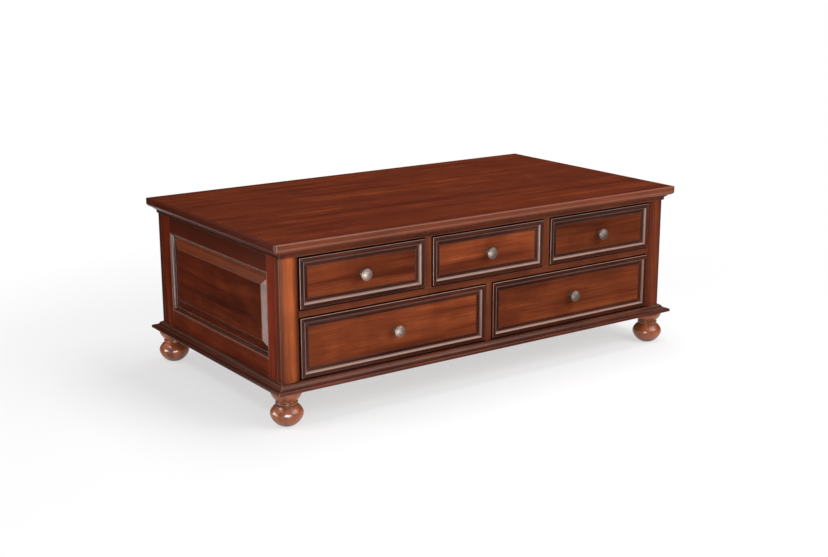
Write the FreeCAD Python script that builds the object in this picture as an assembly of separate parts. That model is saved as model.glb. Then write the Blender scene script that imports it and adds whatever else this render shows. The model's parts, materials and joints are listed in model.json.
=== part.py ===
"""Mahogany coffee table with five drawers, in millimetres.

+Z is up, the drawers open towards -Y, and the origin is on the floor under the middle of the table.
Each node is written to parts/NODE.step.
"""

import FreeCAD
import Part
import os

# Overall size
TOP_LENGTH = 1272.0
TOP_DEPTH = 706.0
TABLE_HEIGHT = 450.0

# Table top, and the cove moulding under its overhang
TOP_THICKNESS = 25.0
TOP_OVERHANG = 23.0
TOP_ARRIS_SHARE = 0.16
TOP_LAND_SHARE = 0.40
TOP_CORNER_ROUND = 7.0
COVE_HEIGHT = 14.0
COVE_PROJECTION = 8.0
COVE_FILLET_SHARE = 0.2

# Base frame that the body stands on
BASE_HEIGHT = 21.0
BASE_PROJECTION = 23.0
BASE_MEMBER_WIDTH = 95.0
BASE_ROUND_SHARE = 0.14
BASE_BAND_SHARE = 0.43
BASE_STEP_SHARE = 0.2
BASE_COVE_END_SHARE = 0.74
BASE_COVE_TOP_SHARE = 0.86

# Turned bun feet and their hanger bolts
FOOT_HEIGHT = 87.5
FOOT_INSET = 21.0
FOOT_PAD_RADIUS = 17.0
BUN_RADIUS = 40.5
BUN_SHOULDER_RADIUS = 38.7
NECK_RADIUS = 24.5
RING_RADIUS = 27.0
CUP_RADIUS = 38.0
BUN_LOWER_SHARE = 0.255
BUN_MIDDLE_SHARE = 0.345
BUN_UPPER_SHARE = 0.433
BUN_TOP_SHARE = 0.61
RING_BOTTOM_SHARE = 0.635
RING_BAND_LOW_SHARE = 0.65
RING_BAND_HIGH_SHARE = 0.67
RING_TOP_SHARE = 0.685
CUP_BOTTOM_SHARE = 0.71
CUP_RIM_SHARE = 0.93
BOLT_RADIUS = 4.0
BOLT_DEPTH_IN_FOOT = 45.0
BOLT_CLEARANCE = 0.15

# Corner posts and the frames between them
POST_WIDTH = 50.0
POST_BOW = 6.0
POST_CROWN_SETBACK = 0.8
FRAME_SETBACK = 3.0
SIDE_SETBACK = 2.0
RAIL_ARRIS = 1.5
TOP_RAIL_HEIGHT = 16.5
MIDDLE_RAIL_HEIGHT = 16.5
DIVIDER_WIDTH = 20.0
STILE_WIDTH = 43.0
PANEL_TOP_RAIL_HEIGHT = 58.0
PANEL_BOTTOM_RAIL_HEIGHT = 45.0

# Raised panels, and the moulding that holds them in their frames
PANEL_TONGUE = 6.0
PANEL_MARGIN = 20.0
PANEL_BEVEL_WIDTH = 17.0
PANEL_BEVEL_RISE = 8.0
PANEL_QUIRK = 1.2
PANEL_BACK_INSET = 2.0
PANEL_MOULDING_WIDTH = 12.0
PANEL_MOULDING_DEPTH = 12.0
PANEL_LAND_SHARE = 0.22
PANEL_STEP_SHARE = 0.16
PANEL_OVOLO_END_SHARE = 0.74
PANEL_FILLET_SHARE = 0.2
BACK_PANELS = 3

# Boards inside the body
BOTTOM_BOARD_THICKNESS = 8.0
DECK_THICKNESS = 14.0

# Drawer fronts
FRONT_GAP = 3.0
LOWER_FRONT_SHARE = 0.545
UPPER_DRAWERS = ("upper_left_drawer", "upper_middle_drawer", "upper_right_drawer")
LOWER_DRAWERS = ("lower_left_drawer", "lower_right_drawer")
FRONT_FIELD_DEPTH = 7.0
FRONT_FRAME_WIDTH = 24.0
FRONT_LIP_WIDTH = 8.0
FRONT_ARRIS_SHARE = 0.08
FRONT_LAND_SHARE = 0.24
BEAD_END_SHARE = 0.56
BEAD_FOOT_SHARE = 0.36
HOLLOW_END_SHARE = 0.86
FILLET_SHARE = 0.17

# Drawer boxes and the runners that carry them
BOX_BACK_SPACE = 75.0
BOX_SIDE_THICKNESS = 14.0
BOX_BACK_THICKNESS = 12.0
BOX_BOTTOM_THICKNESS = 5.0
BOX_INSET = 1.5
BOX_FOOT = 10.0
BOX_HEADROOM = 16.0
BOX_BACK_DROP = 8.0
BOTTOM_GROOVE_DEPTH = 6.0
BOTTOM_GROOVE_RISE = 8.0
RUNNER_HEIGHT = 16.0
RUNNER_GROOVE_DEPTH = 6.0
RUNNING_CLEARANCE = 0.4
END_CLEARANCE = 1.0

# Turned metal knobs
KNOB_RADIUS = 15.0
KNOB_PROJECTION = 26.0
KNOB_PLATE_RADIUS = 9.0
KNOB_NECK_RADIUS = 5.0
KNOB_RIM_RADIUS = 13.6
KNOB_CROWN_RADIUS = 12.4
KNOB_PLATE_EDGE_SHARE = 0.05
KNOB_PLATE_SHARE = 0.11
KNOB_NECK_SHARE = 0.4
KNOB_RIM_LOW_SHARE = 0.6
KNOB_BAND_LOW_SHARE = 0.66
KNOB_BAND_HIGH_SHARE = 0.73
KNOB_RIM_HIGH_SHARE = 0.79
KNOB_CROWN_SHARE = 0.82
STUD_RADIUS = 2.5
STUD_CLEARANCE = 0.15

# All cutting tools pass the faces that they cut by this much
OVERRUN = 5.0

# Half of the square root of two places the middle of a quarter round
QUARTER_SHARE = 0.5 ** 0.5

# Levels and faces that several pieces share
BODY_LENGTH = TOP_LENGTH - 2 * TOP_OVERHANG
BODY_DEPTH = TOP_DEPTH - 2 * TOP_OVERHANG
BODY_BOTTOM = FOOT_HEIGHT + BASE_HEIGHT
BODY_TOP = TABLE_HEIGHT - TOP_THICKNESS
FRAME_THICKNESS = PANEL_MOULDING_DEPTH + PANEL_TONGUE + PANEL_BACK_INSET
POST_DEPTH = FRAME_SETBACK + FRAME_THICKNESS
POST_FACE_X = BODY_LENGTH / 2
POST_INNER_X = POST_FACE_X - POST_WIDTH
POST_FACE_Y = BODY_DEPTH / 2
POST_BACK_Y = POST_FACE_Y - POST_DEPTH
SIDE_FACE_X = POST_FACE_X - SIDE_SETBACK
SIDE_INNER_X = SIDE_FACE_X - FRAME_THICKNESS
FRAME_FACE_Y = POST_FACE_Y - FRAME_SETBACK
INSIDE_Y = FRAME_FACE_Y - FRAME_THICKNESS

INSIDE_START_Y = -POST_BACK_Y
FRONT_BACK_Y = INSIDE_START_Y - END_CLEARANCE
FRONT_THICKNESS = POST_FACE_Y + FRONT_BACK_Y

TOP_RAIL_BOTTOM = BODY_TOP - TOP_RAIL_HEIGHT
FRONTS_HEIGHT = TOP_RAIL_BOTTOM - MIDDLE_RAIL_HEIGHT - BODY_BOTTOM - 4 * FRONT_GAP
LOWER_FRONT_HEIGHT = FRONTS_HEIGHT * LOWER_FRONT_SHARE
UPPER_FRONT_HEIGHT = FRONTS_HEIGHT - LOWER_FRONT_HEIGHT
LOWER_FRONT_BOTTOM = BODY_BOTTOM + FRONT_GAP
MIDDLE_RAIL_BOTTOM = LOWER_FRONT_BOTTOM + LOWER_FRONT_HEIGHT + FRONT_GAP
MIDDLE_RAIL_TOP = MIDDLE_RAIL_BOTTOM + MIDDLE_RAIL_HEIGHT
UPPER_FRONT_BOTTOM = MIDDLE_RAIL_TOP + FRONT_GAP
BOTTOM_BOARD_TOP = BODY_BOTTOM + BOTTOM_BOARD_THICKNESS
DECK_BOTTOM = MIDDLE_RAIL_TOP - DECK_THICKNESS

ORIGIN = FreeCAD.Vector()
AXIS_X = FreeCAD.Vector(1, 0, 0)
AXIS_Z = FreeCAD.Vector(0, 0, 1)
QUARTER_TURN = 90
HALF_TURN = 180
FULL_TURN = 360
TO_LEFT_SIDE = -QUARTER_TURN
TO_RIGHT_SIDE = QUARTER_TURN
TO_BACK = HALF_TURN


def outline(start, *steps):
    """Closed outline in the YZ plane. A step is a point, or a corner and a point that a quarter round joins."""
    edges = []
    here = start
    for step in (*steps, start):
        if isinstance(step[0], tuple):
            corner, there = step
            edges.append(quarter_round(here, corner, there))
        else:
            there = step
            if there != here:
                edges.append(line(here, there))
        here = there
    return Part.Wire(edges)


def in_plane(point):
    return FreeCAD.Vector(0, point[0], point[1])


def line(start, end):
    return Part.makeLine(in_plane(start), in_plane(end))


def lines(*points):
    return [line(start, end) for start, end in zip(points, points[1:])]


def quarter_round(start, corner, end):
    """Arc from start to end that bulges towards the corner where their tangents meet."""
    a, c, b = in_plane(start), in_plane(corner), in_plane(end)
    centre = a + b - c
    return Part.Arc(a, centre + (c - centre) * QUARTER_SHARE, b).toShape()


def round_through(start, middle, end):
    return Part.Arc(in_plane(start), in_plane(middle), in_plane(end)).toShape()


def ball_round(start, end):
    """Arc of a ball centred on the Z axis, for turned work."""
    a, b = in_plane(start), in_plane(end)
    centre = AXIS_Z * ((b.Length ** 2 - a.Length ** 2) / (2 * (b.z - a.z)))
    middle = (a - centre) + (b - centre)
    middle.normalize()
    return Part.Arc(a, centre + middle * (a - centre).Length, b).toShape()


def bar(wire, length):
    """Solid of the given section that runs along X, centred."""
    solid = Part.Face(wire).extrude(AXIS_X * length)
    solid.translate(AXIS_X * (-length / 2))
    return solid


def turned(wire):
    """Solid of revolution about Z, from a section whose Y is the radius."""
    return Part.Face(wire).revolve(ORIGIN, AXIS_Z, FULL_TURN)


def board(low, high):
    """Rectangular board between two corners."""
    size = [b - a for a, b in zip(low, high)]
    return Part.makeBox(*size, FreeCAD.Vector(*low))


def softened(solid, radius, chosen):
    """Rounds the straight edges for which chosen(edge box) is true."""
    edges = [edge for edge in solid.Edges if chosen(edge.BoundBox)]
    return solid.makeFillet(radius, edges)


def edged_slab(length, depth, section):
    """Slab with the same edge on all four sides. section gives its outline from half its width."""
    along = bar(section(depth / 2), length)
    across = bar(section(length / 2), depth)
    across.rotate(ORIGIN, AXIS_Z, QUARTER_TURN)
    return along.common(across).Solids[0]


def trimmed_strip(wire, length, waste):
    """Strip along X, cut at both ends. A corner of the waste is a way back from the tip and an inset."""
    strip = bar(wire, length)
    box = strip.BoundBox
    tip = length / 2
    for end in (-1, 1):
        points = [FreeCAD.Vector(end * (tip - back), inset, box.ZMin - OVERRUN) for back, inset in waste]
        piece = Part.Face(Part.makePolygon([*points, points[0]]))
        strip = strip.cut(piece.extrude(AXIS_Z * (box.ZLength + 2 * OVERRUN)))
    return strip.Solids[0]


def strip_frame(length, depth, wire, long_waste, short_waste):
    """Four strips round a rectangle, lying flat. Y of the wire is the inset from the outer edge."""
    strips = []
    for index in range(4):
        along = index % 2 == 0
        span, other = (length, depth) if along else (depth, length)
        strip = trimmed_strip(wire, span, long_waste if along else short_waste)
        strip.translate(FreeCAD.Vector(0, -other / 2, 0))
        strip.rotate(ORIGIN, AXIS_Z, index * QUARTER_TURN)
        strips.append(strip)
    return strips


def mitred_frame(length, depth, wire):
    """Four strips with full mitres."""
    far = wire.BoundBox.YMax + OVERRUN
    waste = [(-OVERRUN, -OVERRUN), (far, far), (-OVERRUN, far)]
    return strip_frame(length, depth, wire, waste, waste)


def shoulder_mitred_frame(length, depth, wire, mitre, width):
    """Four strips mitred over their moulding only. The short ones butt against the long ones."""
    far = width + OVERRUN
    corner = [(-OVERRUN, -OVERRUN), (mitre, mitre)]
    long_waste = [*corner, (mitre, far), (-OVERRUN, far)]
    short_waste = [*corner, (width, mitre), (width, far), (-OVERRUN, far)]
    return strip_frame(length, depth, wire, long_waste, short_waste)


def upright(solid, turn, x, y, z):
    """Stands a flat piece up so that its top faces the front, turns it about Z and moves it into place."""
    solid.rotate(ORIGIN, AXIS_X, QUARTER_TURN)
    solid.rotate(ORIGIN, AXIS_Z, turn)
    solid.translate(FreeCAD.Vector(x, y, z))
    return solid


def export(node, *solids):
    shape = solids[0] if len(solids) == 1 else Part.makeCompound(list(solids))
    shape.exportStep(os.path.join("parts", node + ".step"))


def table_top():
    arris = TOP_THICKNESS * TOP_ARRIS_SHARE
    land = TOP_THICKNESS * TOP_LAND_SHARE

    def section(half):
        upper = TOP_THICKNESS - arris
        lower = TOP_THICKNESS - land
        inner = half - lower
        return outline(
            (-inner, 0),
            (inner, 0),
            ((half, 0), (half, lower)),
            (half, upper),
            ((half, TOP_THICKNESS), (half - arris, TOP_THICKNESS)),
            (arris - half, TOP_THICKNESS),
            ((-half, TOP_THICKNESS), (-half, upper)),
            (-half, lower),
            ((-half, 0), (-inner, 0)),
        )

    slab = edged_slab(TOP_LENGTH, TOP_DEPTH, section)
    reach = (TOP_LENGTH / 2, TOP_DEPTH / 2)
    blank = board((-reach[0], -reach[1], -OVERRUN), (*reach, TOP_THICKNESS + OVERRUN))
    blank = softened(blank, TOP_CORNER_ROUND, lambda box: box.ZLength > TOP_THICKNESS)
    slab = slab.common(blank).Solids[0]
    slab.translate(AXIS_Z * BODY_TOP)
    export("table_top", slab)


def cove_moulding():
    """Mitred cove under the top, against the outside of the posts."""
    fillet = COVE_HEIGHT * COVE_FILLET_SHARE
    lower = COVE_PROJECTION * (1 - COVE_FILLET_SHARE)
    section = outline(
        (0, COVE_HEIGHT),
        (0, COVE_HEIGHT - fillet),
        ((lower, COVE_HEIGHT - fillet), (lower, fillet)),
        (lower, 0),
        (COVE_PROJECTION, 0),
        (COVE_PROJECTION, COVE_HEIGHT),
    )
    reach = 2 * COVE_PROJECTION
    strips = mitred_frame(BODY_LENGTH + reach, BODY_DEPTH + reach, section)
    for strip in strips:
        strip.translate(AXIS_Z * (BODY_TOP - COVE_HEIGHT))
    export("cove_moulding", *strips)


def foot_centres():
    x = POST_FACE_X - FOOT_INSET
    y = POST_FACE_Y - FOOT_INSET
    return {
        "front_left": (-x, -y),
        "front_right": (x, -y),
        "back_left": (-x, y),
        "back_right": (x, y),
    }


def base_frame():
    """Four members with a moulded outer edge, mitred over the moulding. The long ones take the foot bolts."""
    radius = BASE_HEIGHT * BASE_ROUND_SHARE
    band = BASE_HEIGHT * BASE_BAND_SHARE
    step = BASE_PROJECTION * BASE_STEP_SHARE
    cove_end = BASE_PROJECTION * BASE_COVE_END_SHARE
    cove_top = BASE_HEIGHT * BASE_COVE_TOP_SHARE
    section = outline(
        (BASE_MEMBER_WIDTH, 0),
        (radius, 0),
        ((0, 0), (0, radius)),
        (0, band - radius),
        ((0, band), (radius, band)),
        (step, band),
        ((cove_end, band), (cove_end, cove_top)),
        (BASE_PROJECTION, BASE_HEIGHT),
        (BASE_MEMBER_WIDTH, BASE_HEIGHT),
    )
    reach = 2 * BASE_PROJECTION
    length, depth = BODY_LENGTH + reach, BODY_DEPTH + reach
    members = shoulder_mitred_frame(length, depth, section, BASE_PROJECTION, BASE_MEMBER_WIDTH)
    bore_radius = BOLT_RADIUS + BOLT_CLEARANCE
    for index, member in enumerate(members):
        for x, y in foot_centres().values():
            start = FreeCAD.Vector(x, y, -OVERRUN)
            member = member.cut(Part.makeCylinder(bore_radius, BASE_HEIGHT + 2 * OVERRUN, start))
        member.translate(AXIS_Z * FOOT_HEIGHT)
        members[index] = member
    export("base_frame", *members)


def feet():
    """Bun foot: flat pad, squashed ball, narrow neck with a ring, and a cup under the base frame."""
    height = FOOT_HEIGHT
    bore_radius = BOLT_RADIUS + BOLT_CLEARANCE
    bore_bottom = height - BOLT_DEPTH_IN_FOOT - BOLT_CLEARANCE
    pad = (FOOT_PAD_RADIUS, 0)
    lower = (BUN_SHOULDER_RADIUS, height * BUN_LOWER_SHARE)
    widest = (BUN_RADIUS, height * BUN_MIDDLE_SHARE)
    upper = (BUN_SHOULDER_RADIUS, height * BUN_UPPER_SHARE)
    bun_top = (NECK_RADIUS, height * BUN_TOP_SHARE)
    cup_bottom = (NECK_RADIUS, height * CUP_BOTTOM_SHARE)
    cup_rim = (CUP_RADIUS, height * CUP_RIM_SHARE)
    section = Part.Wire([
        ball_round(pad, lower),
        round_through(lower, widest, upper),
        ball_round(upper, bun_top),
        *lines(
            bun_top,
            (NECK_RADIUS, height * RING_BOTTOM_SHARE),
            (RING_RADIUS, height * RING_BAND_LOW_SHARE),
            (RING_RADIUS, height * RING_BAND_HIGH_SHARE),
            (NECK_RADIUS, height * RING_TOP_SHARE),
            cup_bottom,
        ),
        ball_round(cup_bottom, cup_rim),
        *lines(
            cup_rim,
            (CUP_RADIUS, height),
            (bore_radius, height),
            (bore_radius, bore_bottom),
            (0, bore_bottom),
            (0, 0),
            pad,
        ),
    ])
    bolts = []
    for place, (x, y) in foot_centres().items():
        foot = turned(section)
        foot.translate(FreeCAD.Vector(x, y, 0))
        export(f"{place}_foot", foot)
        start = FreeCAD.Vector(x, y, height - BOLT_DEPTH_IN_FOOT)
        bolts.append(Part.makeCylinder(BOLT_RADIUS, BOLT_DEPTH_IN_FOOT + BASE_HEIGHT, start))
    export("foot_bolts", *bolts)


def posts():
    """Corner posts with a bowed face, left square behind the cove."""
    post = board((POST_INNER_X, POST_BACK_Y, BODY_BOTTOM), (POST_FACE_X, POST_FACE_Y, BODY_TOP))
    start = BODY_BOTTOM - OVERRUN
    edge = POST_FACE_Y - POST_BOW
    crown = POST_FACE_Y - POST_CROWN_SETBACK
    inner = FreeCAD.Vector(POST_INNER_X, edge, start)
    middle = FreeCAD.Vector((POST_INNER_X + POST_FACE_X) / 2, crown, start)
    outer = FreeCAD.Vector(POST_FACE_X, edge, start)
    ahead = FreeCAD.Vector(0, POST_BOW + OVERRUN, 0)
    aside = AXIS_X * OVERRUN
    corners = [outer, outer + aside, outer + aside + ahead, inner - aside + ahead, inner - aside, inner]
    rim = Part.Wire([Part.Arc(inner, middle, outer).toShape(), *Part.makePolygon(corners).Edges])
    post = post.cut(Part.Face(rim).extrude(AXIS_Z * (BODY_TOP - COVE_HEIGHT - start)))
    plane_x, plane_y = AXIS_X, FreeCAD.Vector(0, 1, 0)
    left = post.mirror(ORIGIN, plane_x)
    export("back_right_post", post)
    export("back_left_post", left)
    export("front_right_post", post.mirror(ORIGIN, plane_y))
    export("front_left_post", left.mirror(ORIGIN, plane_y))


def front_board(x0, x1, z0, z1):
    """Rail or divider of the front frame, its two long front edges softened."""
    solid = board((x0, -FRAME_FACE_Y, z0), (x1, FRAME_THICKNESS - FRAME_FACE_Y, z1))
    long_side = max(x1 - x0, z1 - z0)

    def chosen(box):
        at_front = box.YMax < RUNNING_CLEARANCE - FRAME_FACE_Y
        return at_front and box.DiagonalLength > long_side - RUNNING_CLEARANCE
    return softened(solid, RAIL_ARRIS, chosen)


def front_width(count):
    clear = 2 * POST_INNER_X
    return (clear - (count - 1) * DIVIDER_WIDTH) / count - 2 * FRONT_GAP


def front_pitch(count):
    return front_width(count) + 2 * FRONT_GAP + DIVIDER_WIDTH


def drawer_xs(count):
    return [(index - (count - 1) / 2) * front_pitch(count) for index in range(count)]


def divider_xs(count):
    return [(index + 1 - count / 2) * front_pitch(count) for index in range(count - 1)]


def front_frame():
    export("top_rail", front_board(-POST_INNER_X, POST_INNER_X, TOP_RAIL_BOTTOM, BODY_TOP))
    export("middle_rail", front_board(-POST_INNER_X, POST_INNER_X, MIDDLE_RAIL_BOTTOM, MIDDLE_RAIL_TOP))
    half = DIVIDER_WIDTH / 2
    spans = [(x, MIDDLE_RAIL_TOP, TOP_RAIL_BOTTOM) for x in divider_xs(len(UPPER_DRAWERS))]
    spans += [(x, BODY_BOTTOM, MIDDLE_RAIL_BOTTOM) for x in divider_xs(len(LOWER_DRAWERS))]
    export("drawer_dividers", *[front_board(x - half, x + half, z0, z1) for x, z0, z1 in spans])


def raised_panel(length, depth):
    """Panel with a bevelled margin that rises to a flat field, lying flat with its field up."""
    field = PANEL_TONGUE + PANEL_BEVEL_RISE

    def section(half):
        margin = half - PANEL_MARGIN
        inner = margin - PANEL_BEVEL_WIDTH
        return outline(
            (-half, 0),
            (half, 0),
            (half, PANEL_TONGUE),
            (margin, PANEL_TONGUE),
            (inner, field),
            (inner, field + PANEL_QUIRK),
            (-inner, field + PANEL_QUIRK),
            (-inner, field),
            (-margin, PANEL_TONGUE),
            (-half, PANEL_TONGUE),
        )

    return edged_slab(length, depth, section)


def panel_moulding(length, depth):
    """Mitred ovolo strips inside a panel's frame, lying flat on the panel's margin."""
    land = PANEL_MOULDING_WIDTH * PANEL_LAND_SHARE
    ovolo_end = PANEL_MOULDING_WIDTH * PANEL_OVOLO_END_SHARE
    ovolo_top = PANEL_MOULDING_DEPTH * (1 - PANEL_STEP_SHARE)
    fillet = PANEL_MOULDING_DEPTH * PANEL_FILLET_SHARE
    section = outline(
        (0, 0),
        (PANEL_MOULDING_WIDTH, 0),
        (PANEL_MOULDING_WIDTH, fillet),
        (ovolo_end, fillet),
        ((ovolo_end, ovolo_top), (land, ovolo_top)),
        (land, PANEL_MOULDING_DEPTH),
        (0, PANEL_MOULDING_DEPTH),
    )
    strips = mitred_frame(length, depth, section)
    for strip in strips:
        strip.translate(AXIS_Z * PANEL_TONGUE)
    return strips


def panel_frame_levels():
    """Bottom and top of the panel openings."""
    return BODY_BOTTOM + PANEL_BOTTOM_RAIL_HEIGHT, BODY_TOP - PANEL_TOP_RAIL_HEIGHT


def side_frames():
    low, high = panel_frame_levels()
    opening = 2 * (POST_BACK_Y - STILE_WIDTH)
    middle = (low + high) / 2
    panel_back = SIDE_INNER_X + PANEL_BACK_INSET
    for side, sign, turn in (("left", -1, TO_LEFT_SIDE), ("right", 1, TO_RIGHT_SIDE)):
        x0, x1 = sorted((sign * SIDE_INNER_X, sign * SIDE_FACE_X))
        inner = opening / 2
        stiles = [
            board((x0, -POST_BACK_Y, BODY_BOTTOM), (x1, -inner, BODY_TOP)),
            board((x0, inner, BODY_BOTTOM), (x1, POST_BACK_Y, BODY_TOP)),
        ]
        rails = [
            board((x0, -inner, BODY_BOTTOM), (x1, inner, low)),
            board((x0, -inner, high), (x1, inner, BODY_TOP)),
        ]
        export(f"{side}_stiles", *stiles)
        export(f"{side}_rails", *rails)
        place = (sign * panel_back, 0, middle)
        export(f"{side}_panel", upright(raised_panel(opening, high - low), turn, *place))
        strips = panel_moulding(opening, high - low)
        export(f"{side}_panel_moulding", *[upright(strip, turn, *place) for strip in strips])


def back_frame():
    """Rails and muntins between the back posts, with three raised panels."""
    low, high = panel_frame_levels()
    y0, y1 = INSIDE_Y, FRAME_FACE_Y
    middle = (low + high) / 2
    opening = (2 * POST_INNER_X - (BACK_PANELS - 1) * STILE_WIDTH) / BACK_PANELS
    pitch = opening + STILE_WIDTH
    pieces = [
        board((-POST_INNER_X, y0, BODY_BOTTOM), (POST_INNER_X, y1, low)),
        board((-POST_INNER_X, y0, high), (POST_INNER_X, y1, BODY_TOP)),
    ]
    for index in range(BACK_PANELS - 1):
        x = (index + 1 - BACK_PANELS / 2) * pitch
        pieces.append(board((x - STILE_WIDTH / 2, y0, low), (x + STILE_WIDTH / 2, y1, high)))
    export("back_frame", *pieces)
    panels = []
    strips = []
    for index in range(BACK_PANELS):
        place = ((index - (BACK_PANELS - 1) / 2) * pitch, y0 + PANEL_BACK_INSET, middle)
        panels.append(upright(raised_panel(opening, high - low), TO_BACK, *place))
        for strip in panel_moulding(opening, high - low):
            strips.append(upright(strip, TO_BACK, *place))
    export("back_panels", *panels)
    export("back_panel_mouldings", *strips)


def inner_boards():
    x, y = SIDE_INNER_X, INSIDE_Y
    export("bottom_board", board((-x, INSIDE_START_Y, BODY_BOTTOM), (x, y, BOTTOM_BOARD_TOP)))
    export("drawer_deck", board((-x, -y, DECK_BOTTOM), (x, y, MIDDLE_RAIL_TOP)))
    half = DIVIDER_WIDTH / 2
    spans = [(centre, MIDDLE_RAIL_TOP, BODY_TOP) for centre in divider_xs(len(UPPER_DRAWERS))]
    spans += [(centre, BOTTOM_BOARD_TOP, DECK_BOTTOM) for centre in divider_xs(len(LOWER_DRAWERS))]
    walls = [board((c - half, -y, z0), (c + half, y, z1)) for c, z0, z1 in spans]
    export("partitions", *walls)


def box_levels(front_bottom, front_height):
    """Bottom and top of a drawer's box sides."""
    return front_bottom + BOX_FOOT, front_bottom + front_height - BOX_HEADROOM


def runner_level(front_bottom, front_height):
    low, high = box_levels(front_bottom, front_height)
    return (low + high - RUNNER_HEIGHT) / 2


def rows():
    """Names, front bottom and front height of each row of drawers."""
    return [
        (UPPER_DRAWERS, UPPER_FRONT_BOTTOM, UPPER_FRONT_HEIGHT),
        (LOWER_DRAWERS, LOWER_FRONT_BOTTOM, LOWER_FRONT_HEIGHT),
    ]


def drawer_runners():
    """Strips fixed to the partitions and side frames that enter the grooves of the drawer sides."""
    strips = []
    for names, bottom, height in rows():
        count = len(names)
        z = runner_level(bottom, height)
        reach = front_width(count) / 2 - BOX_INSET - RUNNER_GROOVE_DEPTH + RUNNING_CLEARANCE
        half = DIVIDER_WIDTH / 2
        walls = [-SIDE_INNER_X, *divider_xs(count), SIDE_INNER_X]
        for index, centre in enumerate(drawer_xs(count)):
            left = walls[index] + (half if index > 0 else 0)
            right = walls[index + 1] - (half if index < count - 1 else 0)
            for x0, x1 in ((left, centre - reach), (centre + reach, right)):
                strips.append(board((x0, INSIDE_START_Y, z), (x1, INSIDE_Y, z + RUNNER_HEIGHT)))
    export("drawer_runners", *strips)


def drawer_front(node, x, z, width, height):
    """Mitred frame with a land, an ovolo, a hollow and a fillet round a sunk field, and the panel behind it."""
    panel_face = FRONT_THICKNESS - FRONT_FIELD_DEPTH
    arris = FRONT_FRAME_WIDTH * FRONT_ARRIS_SHARE
    land = FRONT_FRAME_WIDTH * FRONT_LAND_SHARE
    bead_end = FRONT_FRAME_WIDTH * BEAD_END_SHARE
    bead_foot = panel_face + FRONT_FIELD_DEPTH * BEAD_FOOT_SHARE
    hollow_end = FRONT_FRAME_WIDTH * HOLLOW_END_SHARE
    fillet = panel_face + FRONT_FIELD_DEPTH * FILLET_SHARE
    rebate = FRONT_FRAME_WIDTH - FRONT_LIP_WIDTH
    edges = [
        line((0, 0), (0, FRONT_THICKNESS - arris)),
        quarter_round((0, FRONT_THICKNESS - arris), (0, FRONT_THICKNESS), (arris, FRONT_THICKNESS)),
        line((arris, FRONT_THICKNESS), (land, FRONT_THICKNESS)),
        quarter_round((land, FRONT_THICKNESS), (bead_end, FRONT_THICKNESS), (bead_end, bead_foot)),
        quarter_round((bead_end, bead_foot), (bead_end, fillet), (hollow_end, fillet)),
    ]
    edges += lines(
        (hollow_end, fillet),
        (FRONT_FRAME_WIDTH, fillet),
        (FRONT_FRAME_WIDTH, panel_face),
        (rebate, panel_face),
        (rebate, 0),
        (0, 0),
    )
    place = (0, x, FRONT_BACK_Y, z + height / 2)
    strips = mitred_frame(width, height, Part.Wire(edges))
    export(f"{node}_front_frame", *[upright(strip, *place) for strip in strips])
    size = FreeCAD.Vector(width - 2 * rebate, height - 2 * rebate, panel_face)
    panel = Part.makeBox(size.x, size.y, size.z, FreeCAD.Vector(-size.x / 2, -size.y / 2, 0))
    hole_start = FreeCAD.Vector(0, 0, -OVERRUN)
    hole = Part.makeCylinder(STUD_RADIUS + STUD_CLEARANCE, size.z + 2 * OVERRUN, hole_start)
    export(f"{node}_front_panel", upright(panel.cut(hole), *place))
    export(f"{node}_knob", upright(turned_knob(panel_face), *place))


def turned_knob(panel_thickness):
    """Knob with a back-plate, a neck, a banded rim, a crown and a stud through the panel."""

    def level(share):
        return panel_thickness + KNOB_PROJECTION * share

    crown = (KNOB_CROWN_RADIUS, level(KNOB_CROWN_SHARE))
    tip = (0, level(1))
    section = Part.Wire([
        *lines(
            tip,
            (0, 0),
            (STUD_RADIUS, 0),
            (STUD_RADIUS, panel_thickness),
            (KNOB_PLATE_RADIUS, panel_thickness),
            (KNOB_PLATE_RADIUS, level(KNOB_PLATE_EDGE_SHARE)),
            (KNOB_NECK_RADIUS, level(KNOB_PLATE_SHARE)),
            (KNOB_NECK_RADIUS, level(KNOB_NECK_SHARE)),
            (KNOB_RIM_RADIUS, level(KNOB_RIM_LOW_SHARE)),
            (KNOB_RADIUS, level(KNOB_BAND_LOW_SHARE)),
            (KNOB_RADIUS, level(KNOB_BAND_HIGH_SHARE)),
            (KNOB_RIM_RADIUS, level(KNOB_RIM_HIGH_SHARE)),
            (KNOB_CROWN_RADIUS, level(KNOB_RIM_HIGH_SHARE)),
            crown,
        ),
        ball_round(crown, tip),
    ])
    return turned(section)


def drawer_box(node, x, z, width, height):
    """Grooved sides, a back above the bottom, and the bottom panel."""
    low, high = box_levels(z, height)
    start, end = FRONT_BACK_Y, INSIDE_Y - BOX_BACK_SPACE
    outer = width / 2 - BOX_INSET
    inner = outer - BOX_SIDE_THICKNESS
    floor = low + BOTTOM_GROOVE_RISE
    floor_top = floor + BOX_BOTTOM_THICKNESS
    floor_edge = inner + BOTTOM_GROOVE_DEPTH
    bottom = board((x - floor_edge, start, floor), (x + floor_edge, end, floor_top))
    runner = runner_level(z, height)
    groove_low = runner - RUNNING_CLEARANCE
    groove_high = runner + RUNNER_HEIGHT + RUNNING_CLEARANCE
    sides = []
    for sign in (-1, 1):
        x0, x1 = sorted((x + sign * inner, x + sign * outer))
        side = board((x0, start, low), (x1, end, high)).cut(bottom)
        g0, g1 = sorted((x + sign * (outer - RUNNER_GROOVE_DEPTH), x + sign * (outer + OVERRUN)))
        side = side.cut(board((g0, start - OVERRUN, groove_low), (g1, end + OVERRUN, groove_high)))
        sides.append(side)
    export(f"{node}_sides", *sides)
    export(f"{node}_bottom", bottom)
    back_low = (x - inner, end - BOX_BACK_THICKNESS, floor_top)
    export(f"{node}_back", board(back_low, (x + inner, end, high - BOX_BACK_DROP)))


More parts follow.
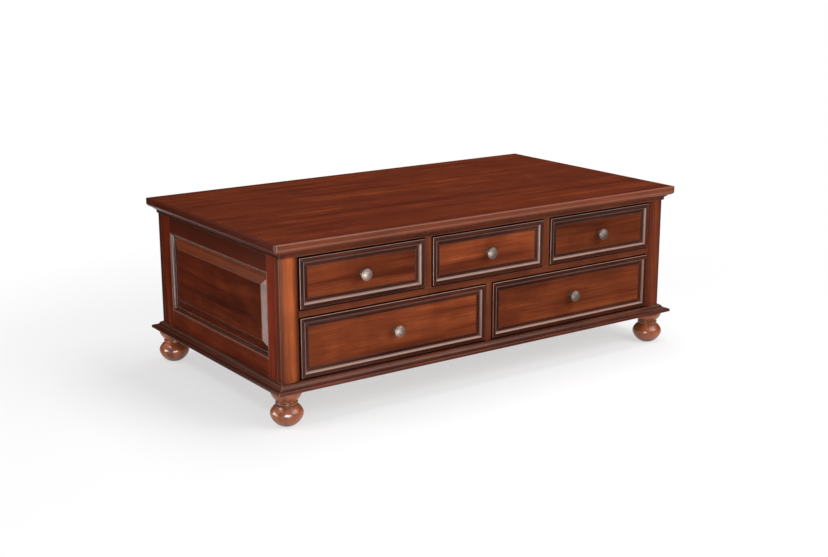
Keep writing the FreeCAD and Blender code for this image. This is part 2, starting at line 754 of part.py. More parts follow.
def drawers():
    for names, bottom, height in rows():
        width = front_width(len(names))
        for node, x in zip(names, drawer_xs(len(names))):
            drawer_front(node, x, bottom, width, height)
            drawer_box(node, x, bottom, width, height)


os.makedirs("parts", exist_ok=True)
table_top()
cove_moulding()
base_frame()
feet()
posts()
front_frame()
side_frames()
back_frame()
inner_boards()
drawer_runners()
drawers()
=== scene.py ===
"""Finishes, studio and camera for the mahogany coffee table with drawers, in metres."""

import json
import math

import bmesh
import bpy
from mathutils import Matrix, Vector

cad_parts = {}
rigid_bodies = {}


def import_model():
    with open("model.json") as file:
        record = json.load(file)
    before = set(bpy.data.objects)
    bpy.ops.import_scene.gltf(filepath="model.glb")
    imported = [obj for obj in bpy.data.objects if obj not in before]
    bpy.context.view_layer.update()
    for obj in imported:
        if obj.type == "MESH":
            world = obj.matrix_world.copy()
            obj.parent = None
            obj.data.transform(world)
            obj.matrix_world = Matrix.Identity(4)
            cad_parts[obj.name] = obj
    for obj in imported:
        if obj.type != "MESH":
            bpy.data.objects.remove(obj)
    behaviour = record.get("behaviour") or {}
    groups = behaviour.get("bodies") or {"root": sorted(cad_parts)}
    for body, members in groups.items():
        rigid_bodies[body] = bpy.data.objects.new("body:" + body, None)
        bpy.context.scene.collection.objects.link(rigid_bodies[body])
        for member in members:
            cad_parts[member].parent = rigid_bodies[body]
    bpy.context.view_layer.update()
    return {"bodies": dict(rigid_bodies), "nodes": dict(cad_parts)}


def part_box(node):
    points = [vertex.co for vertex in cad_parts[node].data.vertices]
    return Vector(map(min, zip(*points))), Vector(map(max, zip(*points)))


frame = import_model()
nodes = frame["nodes"]

# Stain colours of the wood, from the darkest streak to the palest, and its pores
STREAK = (0.058, 0.0105, 0.0046, 1.0)
TOP_STREAK = (0.076, 0.0135, 0.0058, 1.0)
STAIN = (0.138, 0.0262, 0.0100, 1.0)
GLOW = (0.240, 0.050, 0.0165, 1.0)
PORE = (0.045, 0.009, 0.004, 1.0)
STAINED = (STREAK, STAIN, GLOW, PORE)
TOP_STAINED = (TOP_STREAK, STAIN, GLOW, PORE)

# Plain hardwood of the drawer boxes and inner boards, in the same order
BOX_STREAK = (0.30, 0.185, 0.095, 1.0)
BOX_STAIN = (0.42, 0.275, 0.155, 1.0)
BOX_GLOW = (0.50, 0.345, 0.205, 1.0)
BOX_PORE = (0.22, 0.13, 0.065, 1.0)
PLAIN = (BOX_STREAK, BOX_STAIN, BOX_GLOW, BOX_PORE)

# Glaze left in the hollows, also painted shade there and where parts meet; the colour of worn edges, also
# the painted highlight on the top's long edges; the painted highlight on drawer mouldings; and the
# painted light on panel bevels
GLAZE_AND_SHADE = (0.028, 0.0085, 0.0055, 1.0)
WORN_AND_HIGHLIGHT = (0.46, 0.25, 0.165, 1.0)
OVOLO_HIGHLIGHT = (0.54, 0.34, 0.265, 1.0)
BEVEL_LIGHT = (0.42, 0.1, 0.034, 1.0)

# Antique pewter of the knobs, its tarnish, which is also painted shade in the knobs' hollows and on their
# necks, and zinc of the bolts
PEWTER = (0.235, 0.178, 0.154, 1.0)
PEWTER_TARNISH_AND_SHADE = (0.045, 0.032, 0.026, 1.0)
PEWTER_WORN = (0.36, 0.31, 0.29, 1.0)
ZINC = (0.55, 0.55, 0.53, 1.0)

# Tones that lighten or darken the stain of single pieces
TOP_TONE = (1.1, 1.08, 1.03, 1.0)
FIELD_TONE = (1.27, 1.48, 1.35)
# The front left post is much lighter: painted light
LEFT_POST_LIT_TONE = (2.9, 3.7, 2.9, 1.0)
POST_TONE = (1.4, 1.65, 1.85, 1.0)
SIDE_TONE = (0.86, 0.76, 0.68, 1.0)
SIDE_RAIL_TONE = (1.2, 0.98, 0.8, 1.0)
STILE_TONE = (1.45, 0.92, 0.62, 1.0)
RAIL_TONE = (0.92, 1.2, 1.35, 1.0)
FOOT_TONE = (2.3, 3.1, 2.5, 1.0)
# The back feet are lighter: painted light where the table shades them
BACK_FOOT_LIT_TONE = (3.0, 4.0, 3.2, 1.0)
MOULDING_TONE = (0.75, 0.9, 1.0, 1.0)
FRAME_TONE = (0.42, 0.48, 0.58, 1.0)
NO_TONE = (1.0, 1.0, 1.0, 1.0)

# How light the board of each drawer front is beside the others
BOARD_LEVELS = {
    "upper_left_drawer": 0.95,
    "upper_middle_drawer": 1.22,
    "upper_right_drawer": 0.85,
    "lower_left_drawer": 1.08,
    "lower_right_drawer": 0.86,
}

# Sizes of the figure in the wood: cells per metre across the grain, and how far each is drawn out
BAND_SCALE = 34.0
BAND_STRETCH = 16.0
GRAIN_SCALE = 260.0
GRAIN_STRETCH = 26.0
PORE_SCALE = 620.0
PORE_STRETCH = 22.0
BLOTCH_SCALE = 8.0
SHEEN_SCALE = 24.0

# Spans of the figure over which one colour goes over into the next, and how much of it then shows
DARK_BAND_SPAN = (0.30, 0.52)
PALE_BAND_SPAN = (0.50, 0.74)
PALE_BAND_SHARE = 0.8
GRAIN_SPAN = (0.40, 0.66)
GRAIN_SHARE = 0.30
PORE_SPAN = (0.60, 0.72)
PORE_SHARE = 0.45
BLOTCH_SPAN = (0.36, 0.64)
BLOTCH_SHARE = 0.45

# Where each piece is cut from the figure, so that no two look alike
FIGURE_SHIFTS = {
    "table_top": (3.1, 0.4, 0.0),
    "cove_moulding": (0.0, 5.2, 0.3),
    "base_frame": (1.7, 5.2, 0.3),
    "top_rail": (0.0, 0.7, 0.2),
    "middle_rail": (4.1, 0.7, 0.2),
    "drawer_dividers": (1.9, 0.2, 0.6),
    "left_side": (0.0, 0.0, 0.4),
    "right_side": (1.3, 2.9, 0.4),
    "back_frame": (0.9, 0.1, 2.2),
    "back_panels": (5.9, 0.6, 1.2),
    "back_panel_mouldings": (2.9, 0.6, 1.2),
    "bottom_board": (0.3, 0.9, 0.1),
    "drawer_deck": (2.3, 0.4, 0.1),
    "partitions": (0.8, 1.9, 0.1),
    "drawer_runners": (0.5, 3.9, 0.1),
}
CORNER_SHIFT = (2.3, 1.1, 0.0)
DRAWER_SHIFT = (1.37, 0.61, 0.83)

# Lacquer over the wood
LACQUER_ROUGHNESS = 0.32
SHEEN_SPAN = (0.3, 0.7)
SMOOTH_SHARE = 0.9
DULL_SHARE = 1.15
FLAT_SPECULAR = 0.022
FIELD_SPECULAR = 0.01
TOP_SPECULAR = 0.08
PANEL_SPECULAR = 0.085
COVE_SPECULAR = 0.05
MOULDING_SPECULAR = 0.18
FOOT_SPECULAR = 0.5
PANEL_GLOSS = 1.6
PORE_DEPTH = 0.00012
BUMP_STRENGTH = 0.25

# Rounded edges, the wear along them, and the glaze in the hollows, which is also painted shade in hollows
# and where parts meet
ARRIS_RADIUS = 0.0008
WEAR_REACH = 0.0022
WEAR_TURN_SPAN = (0.995, 0.86)
WEAR_AIR_SPAN = (0.45, 0.75)
GLAZE_AND_SHADE_REACH = 0.012
GLAZE_AND_SHADE_SPAN = (0.85, 0.35)
MOULDING_GLAZE_AND_SHADE = 0.95

# Painted shade on ends, margins and the edges of posts, and painted shadow towards upper edges
END_SHADE_SHARE = 0.9
TOP_MARGIN = 0.034
TOP_EDGE = 0.012
MARGIN_SHADE_SHARE = 0.5
MARGIN_STOP_SHARE = 0.65
COVE_END = 0.03
RAIL_SHADE_REACH = 0.1
RAIL_SHADE_SHARE = 0.88
POST_SHADE_SPAN = (0.002, 0.025)
POST_SHADE_SHARE = 0.85

# Where a painted highlight lies on the long edges of the top, as the upward part of the face's direction
UPPER_ARRIS_TILT = 0.62
UPPER_ARRIS_SPREAD = 0.35
LOWER_ARRIS_TILT = -0.3
LOWER_ARRIS_SPREAD = 0.25
EDGE_HIGHLIGHT_SHARE = 0.06
EDGE_LINE_SHARE = 0.2

# Where a painted highlight lies on the mouldings of the drawer fronts, also by the direction of the face
OVOLO_TURN_SPAN = (0.97, 0.82)
OVOLO_SIDE_SPAN = (0.2, 0.45)
OVOLO_UNDER_SPAN = (1.3, 0.8)
OVOLO_AIR_SPAN = (0.45, 0.7)
OVOLO_HIGHLIGHT_SHARE = 0.62
OVOLO_UNDER_SHARE = 0.2

# Painted light on the upper bevel of a side panel
BEVEL_REACH = 0.0375
BEVEL_START_SHARE = 0.96
BEVEL_LIGHT_SHARE = 0.26

# Metal; tarnish that is also painted shade in the hollows of the knobs, and painted shade on their necks
KNOB_AIR_REACH = 0.004
KNOB_AIR_SPAN = (0.9, 0.4)
KNOB_HOLLOW_SHARE = 0.9
TARNISH_SCALE = 240.0
TARNISH_SPAN = (0.35, 0.7)
TARNISH_SHARE = 0.55
NECK_START_SHARE = 0.42
NECK_END_SHARE = 0.62
NECK_SHADE_SHARE = 0.92
METAL_SPAN = (0.3, 0.7)
PEWTER_ROUGHNESS = (0.55, 0.72)
ZINC_ROUGHNESS = (0.35, 0.5)
SPANGLE_SCALE = 300.0

# Studio floor and world
FLOOR_REACH = 40.0
FLOOR_COLOUR = (0.93, 0.93, 0.93, 1.0)
FLOOR_ROUGHNESS = 0.9
WHITE = (1.0, 1.0, 1.0, 1.0)
AMBIENT = (0.30, 0.30, 0.30, 1.0)
NEAR_GLOW_SHARE = 0.58
FADE_START = 0.8
FADE_END = 1.7

# Dark cloths that only reflections see
CLOTH_COLOUR = (0.02, 0.02, 0.02, 1.0)
CLOTH_REACH = 4.0
CLOTH_START_X = 0.72
CLOTH_START_Y = 0.05
CLOTH_LIFT = 0.005
FRONT_CLOTH_LEFT = -0.15
FRONT_CLOTH_START = -0.5
FRONT_CLOTH_DEPTH = 0.95
CURTAIN_REACH = 8.0
CURTAIN_HEIGHT = 5.0
CURTAIN_SIDES = 48

# Lamps and cards: name, place, what each faces, width and height, and watts
TABLE_MIDDLE = (0.0, 0.0, 0.25)
NEAR_FOOT = (-0.6, -0.32, 0.05)
SOFTBOXES = (
    ("key_box", (1.2, -2.3, 1.9), TABLE_MIDDLE, (2.2, 1.6), 57),
    ("overhead_box", (0.5, 0.0, 2.6), TABLE_MIDDLE, (2.0, 1.2), 37),
    ("corner_box", (-1.7, -1.9, 0.24), NEAR_FOOT, (0.8, 0.36), 15),
    ("left_box", (-1.9, 0.2, 2.2), TABLE_MIDDLE, (0.8, 0.6), 13),
)
GLEAM_CARDS = (
    ("left_card", (-1.5, -0.08, 0.01), (-1.5, -0.08, 1.0), (0.9, 0.55), 40),
    ("front_card", (-0.95, -1.25, 0.01), (-0.95, -1.25, 1.0), (1.3, 0.7), 24),
    ("bevel_card", (-1.9, 1.6, 0.85), TABLE_MIDDLE, (0.8, 0.5), 1.2),
    ("left_foot_card", (-1.6, 0.3, 0.25), NEAR_FOOT, (0.6, 0.4), 13),
    ("near_foot_card", (-1.0, -1.3, 0.2), NEAR_FOOT, (0.6, 0.5), 30),
)

# Camera, fitted to the edges of the table in the photograph
IMAGE_WIDTH = 828
SENSOR_WIDTH = 36.0
FOCAL_PIXELS = 1348.25
CAMERA_PLACE = (-2.0796, -2.9639, 1.1384)
CAMERA_YAW = math.radians(-34.98)
CAMERA_PITCH = math.radians(14.449)
CAMERA_ROLL = math.radians(-0.119)
QUARTER_TURN = math.pi / 2


class Finish:
    """A node material, built up from its textures to its Principled shader."""

    def __init__(self, name):
        self.material = bpy.data.materials.new(name)
        self.material.use_nodes = True
        self.tree = self.material.node_tree
        self.shader = self.tree.nodes["Principled BSDF"]

    def put(self, socket, value):
        if isinstance(value, bpy.types.NodeSocket):
            self.tree.links.new(value, socket)
        else:
            socket.default_value = value

    def surface(self, inputs):
        for name, value in inputs.items():
            self.put(self.shader.inputs[name], value)
        return self.material

    def add(self, kind, inputs, **settings):
        node = self.tree.nodes.new(kind)
        for name, value in settings.items():
            setattr(node, name, value)
        for socket, value in inputs.items():
            self.put(node.inputs[socket], value)
        return node

    def maths(self, operation, a, b=0.0):
        return self.add("ShaderNodeMath", {0: a, 1: b}, operation=operation).outputs["Value"]

    def product(self, first, *others):
        result = first
        for other in others:
            result = self.maths("MULTIPLY", result, other)
        return result

    def mix(self, factor, a, b, blend="MIX"):
        inputs = {0: factor, 6: a, 7: b}
        return self.add("ShaderNodeMix", inputs, data_type="RGBA", blend_type=blend).outputs[2]

    def spread(self, value, low, high, to_low=0.0, to_high=1.0):
        """Eases a value from one span to another."""
        inputs = {"Value": value, "From Min": low, "From Max": high, "To Min": to_low, "To Max": to_high}
        node = self.add("ShaderNodeMapRange", inputs, interpolation_type="SMOOTHSTEP")
        return node.outputs["Result"]

    def object_space(self):
        return self.add("ShaderNodeTexCoord", {}).outputs["Object"]

    def part(self, vector, name):
        return self.add("ShaderNodeSeparateXYZ", {"Vector": vector}).outputs[name]

    def axis(self, name):
        return self.part(self.object_space(), name)

    def away(self, name, centre):
        """Distance from a plane across one axis."""
        return self.maths("ABSOLUTE", self.maths("SUBTRACT", self.axis(name), centre))

    def face(self):
        return self.add("ShaderNodeNewGeometry", {}).outputs["Normal"]

    def facing(self, name, tilt):
        """How far the face's direction along one axis is from a tilt."""
        return self.maths("ABSOLUTE", self.maths("SUBTRACT", self.part(self.face(), name), tilt))

    def stretched(self, along, stretch, shift):
        """Object coordinates drawn out along one axis, moved so that each piece has its own figure."""
        scale = [1.0, 1.0, 1.0]
        scale["XYZ".index(along)] = 1 / stretch
        inputs = {"Vector": self.object_space(), "Location": shift, "Scale": scale}
        return self.add("ShaderNodeMapping", inputs).outputs["Vector"]

    def noise(self, vector, scale, detail, roughness=0.55, distortion=0.0):
        inputs = {
            "Vector": vector,
            "Scale": scale,
            "Detail": detail,
            "Roughness": roughness,
            "Distortion": distortion,
        }
        return self.add("ShaderNodeTexNoise", inputs).outputs["Fac"]

    def open_air(self, reach):
        """One on open faces, falling to nothing deep in a corner."""
        return self.add("ShaderNodeAmbientOcclusion", {"Distance": reach}, samples=8).outputs["AO"]

    def rounded(self, radius):
        return self.add("ShaderNodeBevel", {"Radius": radius}, samples=6).outputs["Normal"]

    def arris(self, rounded, air):
        """One along outer edges, where the finish is rubbed."""
        turn = self.add("ShaderNodeVectorMath", {0: rounded, 1: self.face()}, operation="DOT_PRODUCT")
        edge = self.spread(turn.outputs["Value"], *WEAR_TURN_SPAN)
        return self.product(edge, self.spread(air, *WEAR_AIR_SPAN))


def dress(node, material):
    nodes[node].material_slots[0].material = material


def shifted(step, number):
    """Place in the figure of one piece in a row of like ones."""
    return tuple(part * number for part in step)


def middle_and_half(node, axis):
    low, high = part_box(node)
    i = "XYZ".index(axis)
    return (low[i] + high[i]) / 2, (high[i] - low[i]) / 2


def figure(finish, along, shift, colours):
    """Bands, fine grain and pores along one axis. Gives the colour and the pores."""
    streak, stain, glow, pore = colours
    drawn_out = finish.stretched(along, BAND_STRETCH, shift)
    bands = finish.noise(drawn_out, BAND_SCALE, detail=4.0, roughness=0.6, distortion=0.6)
    grain = finish.noise(finish.stretched(along, GRAIN_STRETCH, shift), GRAIN_SCALE, detail=3.0)
    pores = finish.noise(finish.stretched(along, PORE_STRETCH, shift), PORE_SCALE, detail=2.0)
    pores = finish.spread(pores, *PORE_SPAN)
    colour = finish.mix(finish.spread(bands, *DARK_BAND_SPAN), streak, stain)
    colour = finish.mix(finish.spread(bands, *PALE_BAND_SPAN, 0.0, PALE_BAND_SHARE), colour, glow)
    colour = finish.mix(finish.spread(grain, *GRAIN_SPAN, 0.0, GRAIN_SHARE), colour, streak)
    colour = finish.mix(finish.product(pores, PORE_SHARE), colour, pore)
    return colour, pores


def wood(
    node,
    grains,
    tone,
    shift,
    colours=STAINED,
    wear=0.5,
    glaze_and_shade=0.7,
    gloss=1.0,
    specular=FLAT_SPECULAR,
    shade=None,
    painted_light=None,
    painted_light_colour=WORN_AND_HIGHLIGHT,
):
    """Stained wood under lacquer. grains is one axis, or a function that gives a mask and two axes."""
    finish = Finish(node)
    if callable(grains):
        mask, first, second = grains(finish)
        colour_a, pores_a = figure(finish, first, shift, colours)
        colour_b, pores_b = figure(finish, second, shift, colours)
        colour = finish.mix(mask, colour_a, colour_b)
        pores = finish.maths("MAXIMUM", pores_a, pores_b)
    else:
        colour, pores = figure(finish, grains, shift, colours)
    darkest = colours[0]
    blotch = finish.noise(finish.object_space(), BLOTCH_SCALE, detail=3.0)
    colour = finish.mix(finish.spread(blotch, *BLOTCH_SPAN, 0.0, BLOTCH_SHARE), colour, darkest)
    colour = finish.mix(1.0, colour, tone, "MULTIPLY")
    # Painted shade, where a piece has it
    if shade:
        colour = finish.mix(shade(finish), colour, darkest)
    # Painted highlight or painted light, where a piece has it
    if painted_light:
        colour = finish.mix(painted_light(finish), colour, painted_light_colour)
    # Dark glaze in the hollows, which also paints shade in them and where parts meet
    air = finish.open_air(GLAZE_AND_SHADE_REACH)
    colour = finish.mix(finish.spread(air, *GLAZE_AND_SHADE_SPAN, 0.0, glaze_and_shade), colour, GLAZE_AND_SHADE)
    edges = finish.arris(finish.rounded(WEAR_REACH), air)
    colour = finish.mix(finish.product(edges, wear), colour, WORN_AND_HIGHLIGHT)
    sheen = finish.noise(finish.object_space(), SHEEN_SCALE, detail=2.0)
    smooth, dull = LACQUER_ROUGHNESS * SMOOTH_SHARE / gloss, LACQUER_ROUGHNESS * DULL_SHARE / gloss
    bump = finish.add("ShaderNodeBump", {
        "Strength": BUMP_STRENGTH,
        "Distance": PORE_DEPTH,
        "Height": pores,
        "Normal": finish.rounded(ARRIS_RADIUS),
    }, invert=True)
    material = finish.surface({
        "Base Color": colour,
        "Roughness": finish.spread(sheen, *SHEEN_SPAN, smooth, dull),
        "Normal": bump.outputs["Normal"],
        "Specular IOR Level": specular,
    })
    dress(node, material)


def moulding_wood(node, grains, tone, shift, wear, specular=MOULDING_SPECULAR, shade=None, painted_light=None):
    """Mouldings keep a dark glaze in their hollows, which also paints shade there, a brighter lacquer and
    a paler colour for painted highlights.
    """
    wood(
        node,
        grains,
        tone,
        shift,
        wear=wear,
        glaze_and_shade=MOULDING_GLAZE_AND_SHADE,
        gloss=PANEL_GLOSS,
        specular=specular,
        shade=shade,
        painted_light=painted_light,
        painted_light_colour=OVOLO_HIGHLIGHT,
    )


def box_wood(node, along, shift):
    wood(node, along, NO_TONE, shift, PLAIN, wear=0.15, glaze_and_shade=0.25, gloss=0.6)


def painted_end_shade(node, reach):
    """Painted shade towards the short sides."""
    middle, half = middle_and_half(node, "X")

    def shade(finish):
        along = finish.away("X", middle)
        return finish.spread(along, half - reach, half - reach / 3, 0.0, END_SHADE_SHARE)

    return shade


def painted_margin_shade(node, inner, outer):
    """Painted shade on the ends of the top and in a band behind its long edges."""
    middle, half = middle_and_half(node, "Y")
    ends = painted_end_shade(node, outer)

    def shade(finish):
        along = finish.away("Y", middle)
        band = finish.spread(along, half - inner, half - inner / 2, 0.0, MARGIN_SHADE_SHARE)
        face = finish.spread(along, half - outer * MARGIN_STOP_SHARE, half - outer)
        return finish.maths("MAXIMUM", ends(finish), finish.product(band, face))

    return shade


def painted_overhang_shadow(node, reach):
    """Painted shadow of the overhang towards the upper edge of a side."""
    low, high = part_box(node)

    def shade(finish):
        return finish.spread(finish.axis("Z"), high.z - reach, high.z - reach / 3, 0.0, RAIL_SHADE_SHARE)

    return shade


def painted_post_edge_shade(node):
    """Painted shade towards both edges of a post."""
    middle, half = middle_and_half(node, "X")

    def shade(finish):
        return finish.spread(finish.away("X", middle), *POST_SHADE_SPAN, 0.0, POST_SHADE_SHARE)

    return shade


def painted_edge_highlight(node, reach):
    """Painted highlight along the long edges of the top, most where they turn up and down."""
    middle, half = middle_and_half(node, "Y")

    def painted_light(finish):
        band = finish.spread(finish.away("Y", middle), half - reach, half - reach / 2)
        upper = finish.spread(finish.facing("Z", UPPER_ARRIS_TILT), UPPER_ARRIS_SPREAD, 0.0)
        lower = finish.spread(finish.facing("Z", LOWER_ARRIS_TILT), LOWER_ARRIS_SPREAD, 0.0)
        lines = finish.product(finish.maths("MAXIMUM", upper, lower), EDGE_LINE_SHARE)
        return finish.product(band, finish.maths("ADD", lines, EDGE_HIGHLIGHT_SHARE))

    return painted_light


def painted_ovolo_highlight(finish):
    """Painted highlight on the rounded moulding of a drawer front, where it turns from the face."""
    forward = finish.facing("Y", 0.0)
    turned = finish.spread(forward, *OVOLO_TURN_SPAN, 0.0, OVOLO_HIGHLIGHT_SHARE)
    off_the_sides = finish.spread(forward, *OVOLO_SIDE_SPAN)
    upward = finish.spread(finish.facing("Z", 1.0), *OVOLO_UNDER_SPAN, OVOLO_UNDER_SHARE, 1.0)
    open_part = finish.spread(finish.open_air(GLAZE_AND_SHADE_REACH), *OVOLO_AIR_SPAN)
    return finish.product(turned, off_the_sides, upward, open_part)


def painted_bevel_light(node, reach):
    """Painted light on the upper bevel of a raised panel."""
    low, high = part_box(node)
    start, full = high.z - reach, high.z - reach * BEVEL_START_SHARE

    def painted_light(finish):
        return finish.spread(finish.axis("Z"), start, full, 0.0, BEVEL_LIGHT_SHARE)

    return painted_light


def mitred(node, across, up):
    """Grain that runs along each strip of a mitred frame and turns at the mitres."""
    middle_across, half_across = middle_and_half(node, across)
    middle_up, half_up = middle_and_half(node, up)

    def grains(finish):
        to_side = finish.maths("SUBTRACT", half_across, finish.away(across, middle_across))
        to_end = finish.maths("SUBTRACT", half_up, finish.away(up, middle_up))
        return finish.maths("LESS_THAN", to_side, to_end), across, up

    return grains


def railed(opening, across, up):
    """Grain along the rails above and below an opening, and up the pieces between them."""
    middle, half = middle_and_half(opening, up)

    def grains(finish):
        return finish.maths("LESS_THAN", finish.away(up, middle), half), across, up

    return grains


def pewter(name, knob):
    """Dull pewter, with painted shade on the neck and back-plate of a knob, so they are darker than its
    head.
    """
    low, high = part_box(knob)
    depth = high.y - low.y
    neck_start, neck_end = low.y + depth * NECK_START_SHARE, low.y + depth * NECK_END_SHARE
    finish = Finish(name)
    air = finish.open_air(KNOB_AIR_REACH)
    rounded = finish.rounded(ARRIS_RADIUS)
    tarnish = finish.noise(finish.object_space(), TARNISH_SCALE, detail=4.0)
    colour = finish.mix(finish.spread(tarnish, *TARNISH_SPAN, 0.0, TARNISH_SHARE), PEWTER, PEWTER_TARNISH_AND_SHADE)
    # Tarnish in the hollows, which also paints the shade there
    colour = finish.mix(finish.spread(air, *KNOB_AIR_SPAN, 0.0, KNOB_HOLLOW_SHARE), colour, PEWTER_TARNISH_AND_SHADE)
    colour = finish.mix(finish.arris(rounded, air), colour, PEWTER_WORN)
    # Painted shade on the neck and back-plate, behind the head
    neck = finish.spread(finish.axis("Y"), neck_start, neck_end, 0.0, NECK_SHADE_SHARE)
    return finish.surface({
        "Base Color": finish.mix(neck, colour, PEWTER_TARNISH_AND_SHADE),
        "Metallic": 1.0,
        "Roughness": finish.spread(tarnish, *METAL_SPAN, *PEWTER_ROUGHNESS),
        "Normal": rounded,
    })


def zinc(name):
    finish = Finish(name)
    spangle = finish.noise(finish.object_space(), SPANGLE_SCALE, detail=3.0)
    return finish.surface({
        "Base Color": finish.mix(spangle, ZINC, PEWTER),
        "Metallic": 1.0,
        "Roughness": finish.spread(spangle, *METAL_SPAN, *ZINC_ROUGHNESS),
    })


def dress_top_and_base():
    node = "table_top"
    wood(
        node,
        "X",
        TOP_TONE,
        FIGURE_SHIFTS[node],
        TOP_STAINED,
        wear=0.75,
        gloss=1.5,
        specular=TOP_SPECULAR,
        # painted shade on the ends and behind the long edges
        shade=painted_margin_shade(node, TOP_MARGIN, TOP_EDGE),
        # painted highlight along the long edges
        painted_light=painted_edge_highlight(node, TOP_EDGE),
    )
    node = "cove_moulding"
    moulding_wood(
        node,
        mitred(node, "X", "Y"),
        MOULDING_TONE,
        FIGURE_SHIFTS[node],
        wear=0.3,
        specular=COVE_SPECULAR,
        # painted shade towards the short ends
        shade=painted_end_shade(node, COVE_END),
    )
    node = "base_frame"
    moulding_wood(node, mitred(node, "X", "Y"), MOULDING_TONE, FIGURE_SHIFTS[node], wear=0.7)


def dress_corners():
    for number, place in enumerate(("front_left", "front_right", "back_left", "back_right")):
        shift = shifted(CORNER_SHIFT, number)
        foot, post = place + "_foot", place + "_post"
        # the back feet get a lighter tone, painted light
        tone = FOOT_TONE if place.startswith("front") else BACK_FOOT_LIT_TONE
        wood(foot, "Z", tone, shift, wear=0.2, glaze_and_shade=0.8, gloss=1.35, specular=FOOT_SPECULAR)
        # The front left post gets a much lighter tone, painted light
        tone = LEFT_POST_LIT_TONE if place == "front_left" else POST_TONE
        # painted shade towards the edges of each post
        wood(post, "Z", tone, shift, wear=0.6, shade=painted_post_edge_shade(post))
    dress("foot_bolts", zinc("zinc"))


def dress_front():
    for node, along in (("top_rail", "X"), ("middle_rail", "X"), ("drawer_dividers", "Z")):
        wood(node, along, RAIL_TONE, FIGURE_SHIFTS[node], wear=0.35)


def dress_sides():
    for side in ("left", "right"):
        shift = FIGURE_SHIFTS[side + "_side"]
        rails, panel, strips = side + "_rails", side + "_panel", side + "_panel_moulding"
        wood(side + "_stiles", "Z", STILE_TONE, shift, wear=0.3)
        # painted shadow of the top's overhang on the upper rail
        wood(rails, "Y", SIDE_RAIL_TONE, shift, wear=0.3, shade=painted_overhang_shadow(rails, RAIL_SHADE_REACH))
        wood(
            panel,
            "Y",
            SIDE_TONE,
            shift,
            gloss=PANEL_GLOSS,
            specular=PANEL_SPECULAR,
            # painted light on the upper bevel
            painted_light=painted_bevel_light(panel, BEVEL_REACH),
            painted_light_colour=BEVEL_LIGHT,
        )
        moulding_wood(strips, mitred(strips, "Y", "Z"), MOULDING_TONE, shift, wear=0.9)


def dress_back():
    panels, strips = "back_panels", "back_panel_mouldings"
    wood("back_frame", railed(panels, "X", "Z"), SIDE_TONE, FIGURE_SHIFTS["back_frame"])
    wood(panels, "X", SIDE_TONE, FIGURE_SHIFTS[panels], gloss=PANEL_GLOSS, specular=PANEL_SPECULAR)
    moulding_wood(strips, "X", MOULDING_TONE, FIGURE_SHIFTS[strips], wear=0.9)


def dress_inner_boards():
    boards = (("bottom_board", "X"), ("drawer_deck", "X"), ("partitions", "Y"), ("drawer_runners", "Y"))
    for node, along in boards:
        box_wood(node, along, FIGURE_SHIFTS[node])


def dress_drawers():
    knob = pewter("antique_pewter", "upper_left_drawer_knob")
    drawers = [body for body in frame["bodies"] if body.endswith("_drawer")]
    for number, drawer in enumerate(drawers):
        shift = shifted(DRAWER_SHIFT, number)
        strips = drawer + "_front_frame"
        tone = [level * BOARD_LEVELS[drawer] for level in FIELD_TONE] + [1.0]
        wood(drawer + "_front_panel", "X", tone, shift, wear=0.3, specular=FIELD_SPECULAR)
        # painted highlight where the moulding turns from the face
        moulding_wood(strips, mitred(strips, "X", "Z"), FRAME_TONE, shift, wear=0.22, painted_light=painted_ovolo_highlight)
        dress(drawer + "_knob", knob)
        box_wood(drawer + "_sides", "Y", shift)
        box_wood(drawer + "_bottom", "X", shift)
        box_wood(drawer + "_back", "X", shift)


def stage_object(name, shape):
    """Puts a shape into the studio. Gives the object and its mesh."""
    mesh = bpy.data.meshes.new(name)
    shape.to_mesh(mesh)
    shape.free()
    piece = bpy.data.objects.new(name, mesh)
    bpy.context.scene.collection.objects.link(piece)
    return piece, mesh


def background_rays(finish):
    """One for the rays that show the background: straight to the camera, mirrored or through glass."""
    path = finish.add("ShaderNodeLightPath", {})
    mirrored = finish.maths("MAXIMUM", path.outputs["Is Glossy Ray"], path.outputs["Is Transmission Ray"])
    return finish.maths("MAXIMUM", path.outputs["Is Camera Ray"], mirrored)


def floor():
    """Pale floor that keeps the shadow near the table and fades to white far from it."""
    shape = bmesh.new()
    bmesh.ops.create_grid(shape, x_segments=1, y_segments=1, size=FLOOR_REACH)
    plane, mesh = stage_object("floor", shape)
    finish = Finish("studio_floor")
    finish.surface({"Base Color": FLOOR_COLOUR, "Roughness": FLOOR_ROUGHNESS, "Specular IOR Level": 0.0})
    distance = finish.add("ShaderNodeVectorMath", {0: finish.object_space()}, operation="LENGTH")
    far = finish.spread(distance.outputs["Value"], FADE_START, FADE_END, NEAR_GLOW_SHARE, 1.0)
    glow = finish.add("ShaderNodeEmission", {"Color": WHITE, "Strength": 1.0})
    blend = finish.add("ShaderNodeMixShader", {
        0: finish.product(far, background_rays(finish)),
        1: finish.shader.outputs["BSDF"],
        2: glow.outputs["Emission"],
    })
    output = finish.tree.nodes["Material Output"]
    finish.put(output.inputs["Surface"], blend.outputs["Shader"])
    mesh.materials.append(finish.material)


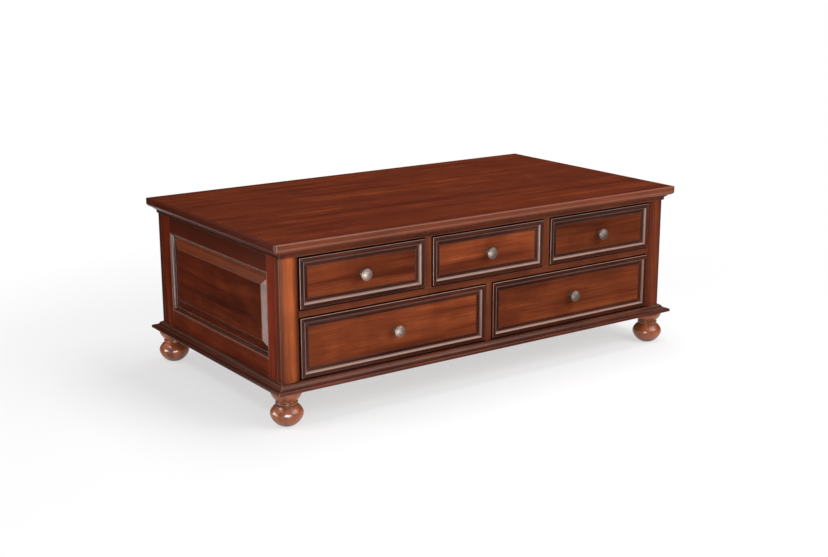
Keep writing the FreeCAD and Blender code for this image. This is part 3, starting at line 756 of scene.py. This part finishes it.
def studio_world():
    """Soft grey light all round, seen as white by the camera and in reflections."""
    world = bpy.data.worlds.new("studio")
    world.use_nodes = True
    bpy.context.scene.world = world
    tree = world.node_tree
    background = tree.nodes["Background"]
    background.inputs["Color"].default_value = AMBIENT
    path = tree.nodes.new("ShaderNodeLightPath")
    white = tree.nodes.new("ShaderNodeBackground")
    white.inputs["Color"].default_value = WHITE
    mix = tree.nodes.new("ShaderNodeMixShader")
    seen = path.outputs["Is Camera Ray"]
    for kind in ("Is Glossy Ray", "Is Transmission Ray"):
        either = tree.nodes.new("ShaderNodeMath")
        either.operation = "MAXIMUM"
        tree.links.new(seen, either.inputs[0])
        tree.links.new(path.outputs[kind], either.inputs[1])
        seen = either.outputs["Value"]
    tree.links.new(seen, mix.inputs[0])
    tree.links.new(background.outputs["Background"], mix.inputs[1])
    tree.links.new(white.outputs["Background"], mix.inputs[2])
    tree.links.new(mix.outputs["Shader"], tree.nodes["World Output"].inputs["Surface"])


def dark_cloth(name, shape):
    """Dark cloth that only reflections see."""
    cloth, mesh = stage_object(name, shape)
    cloth.visible_camera = False
    cloth.visible_diffuse = False
    cloth.visible_shadow = False
    material = Finish(name).surface({"Base Color": CLOTH_COLOUR, "Specular IOR Level": 0.0})
    mesh.materials.append(material)


def curtain():
    """Curtain round the studio, up to where the lamps hang."""
    shape = bmesh.new()
    ring = bmesh.ops.create_circle(shape, segments=CURTAIN_SIDES, radius=CURTAIN_REACH)
    edges = list({edge for vertex in ring["verts"] for edge in vertex.link_edges})
    raised = bmesh.ops.extrude_edge_only(shape, edges=edges)
    corners = [item for item in raised["geom"] if isinstance(item, bmesh.types.BMVert)]
    bmesh.ops.translate(shape, vec=(0.0, 0.0, CURTAIN_HEIGHT), verts=corners)
    dark_cloth("curtain", shape)


def floor_cloths():
    """Cloths on the floor round the table, which keep the pale floor out of its flat faces."""
    half, front_half = CLOTH_REACH / 2, FRONT_CLOTH_DEPTH / 2
    places = (
        ("left_cloth", -CLOTH_START_X - half, CLOTH_START_Y + half, half),
        ("right_cloth", CLOTH_START_X + half, CLOTH_START_Y + half, half),
        ("front_cloth", FRONT_CLOTH_LEFT + half, FRONT_CLOTH_START - front_half, front_half),
    )
    for name, x, y, half_depth in places:
        shape = bmesh.new()
        size = Matrix.Diagonal((half, half_depth, 1.0, 1.0))
        bmesh.ops.create_grid(shape, x_segments=1, y_segments=1, size=1.0, matrix=size)
        bmesh.ops.translate(shape, vec=(x, y, CLOTH_LIFT), verts=shape.verts)
        dark_cloth(name, shape)


def softbox(name, place, target, size, watts):
    light = bpy.data.lights.new(name, "AREA")
    light.shape = "RECTANGLE"
    light.size, light.size_y = size
    light.energy = watts
    lamp = bpy.data.objects.new(name, light)
    lamp.location = place
    lamp.rotation_euler = (Vector(target) - Vector(place)).to_track_quat("-Z", "Y").to_euler()
    lamp.visible_camera = False
    bpy.context.scene.collection.objects.link(lamp)
    return lamp


def studio_lights():
    """Softboxes that light the table, and bright cards that show only as gleams in the lacquer."""
    for row in SOFTBOXES:
        softbox(*row)
    for row in GLEAM_CARDS:
        card = softbox(*row)
        card.visible_diffuse = False


def camera():
    data = bpy.data.cameras.new("camera")
    data.sensor_fit = "HORIZONTAL"
    data.sensor_width = SENSOR_WIDTH
    data.lens = FOCAL_PIXELS * SENSOR_WIDTH / IMAGE_WIDTH
    eye = bpy.data.objects.new("camera", data)
    bpy.context.scene.collection.objects.link(eye)
    turn = Matrix.Rotation(CAMERA_YAW, 4, "Z")
    tilt = Matrix.Rotation(QUARTER_TURN - CAMERA_PITCH, 4, "X")
    roll = Matrix.Rotation(CAMERA_ROLL, 4, "Z")
    eye.matrix_world = Matrix.Translation(CAMERA_PLACE) @ turn @ tilt @ roll
    bpy.context.scene.camera = eye


dress_top_and_base()
dress_corners()
dress_front()
dress_sides()
dress_back()
dress_inner_boards()
dress_drawers()
floor()
curtain()
floor_cloths()
studio_world()
studio_lights()
camera()
bpy.context.scene.view_settings.view_transform = "Standard"
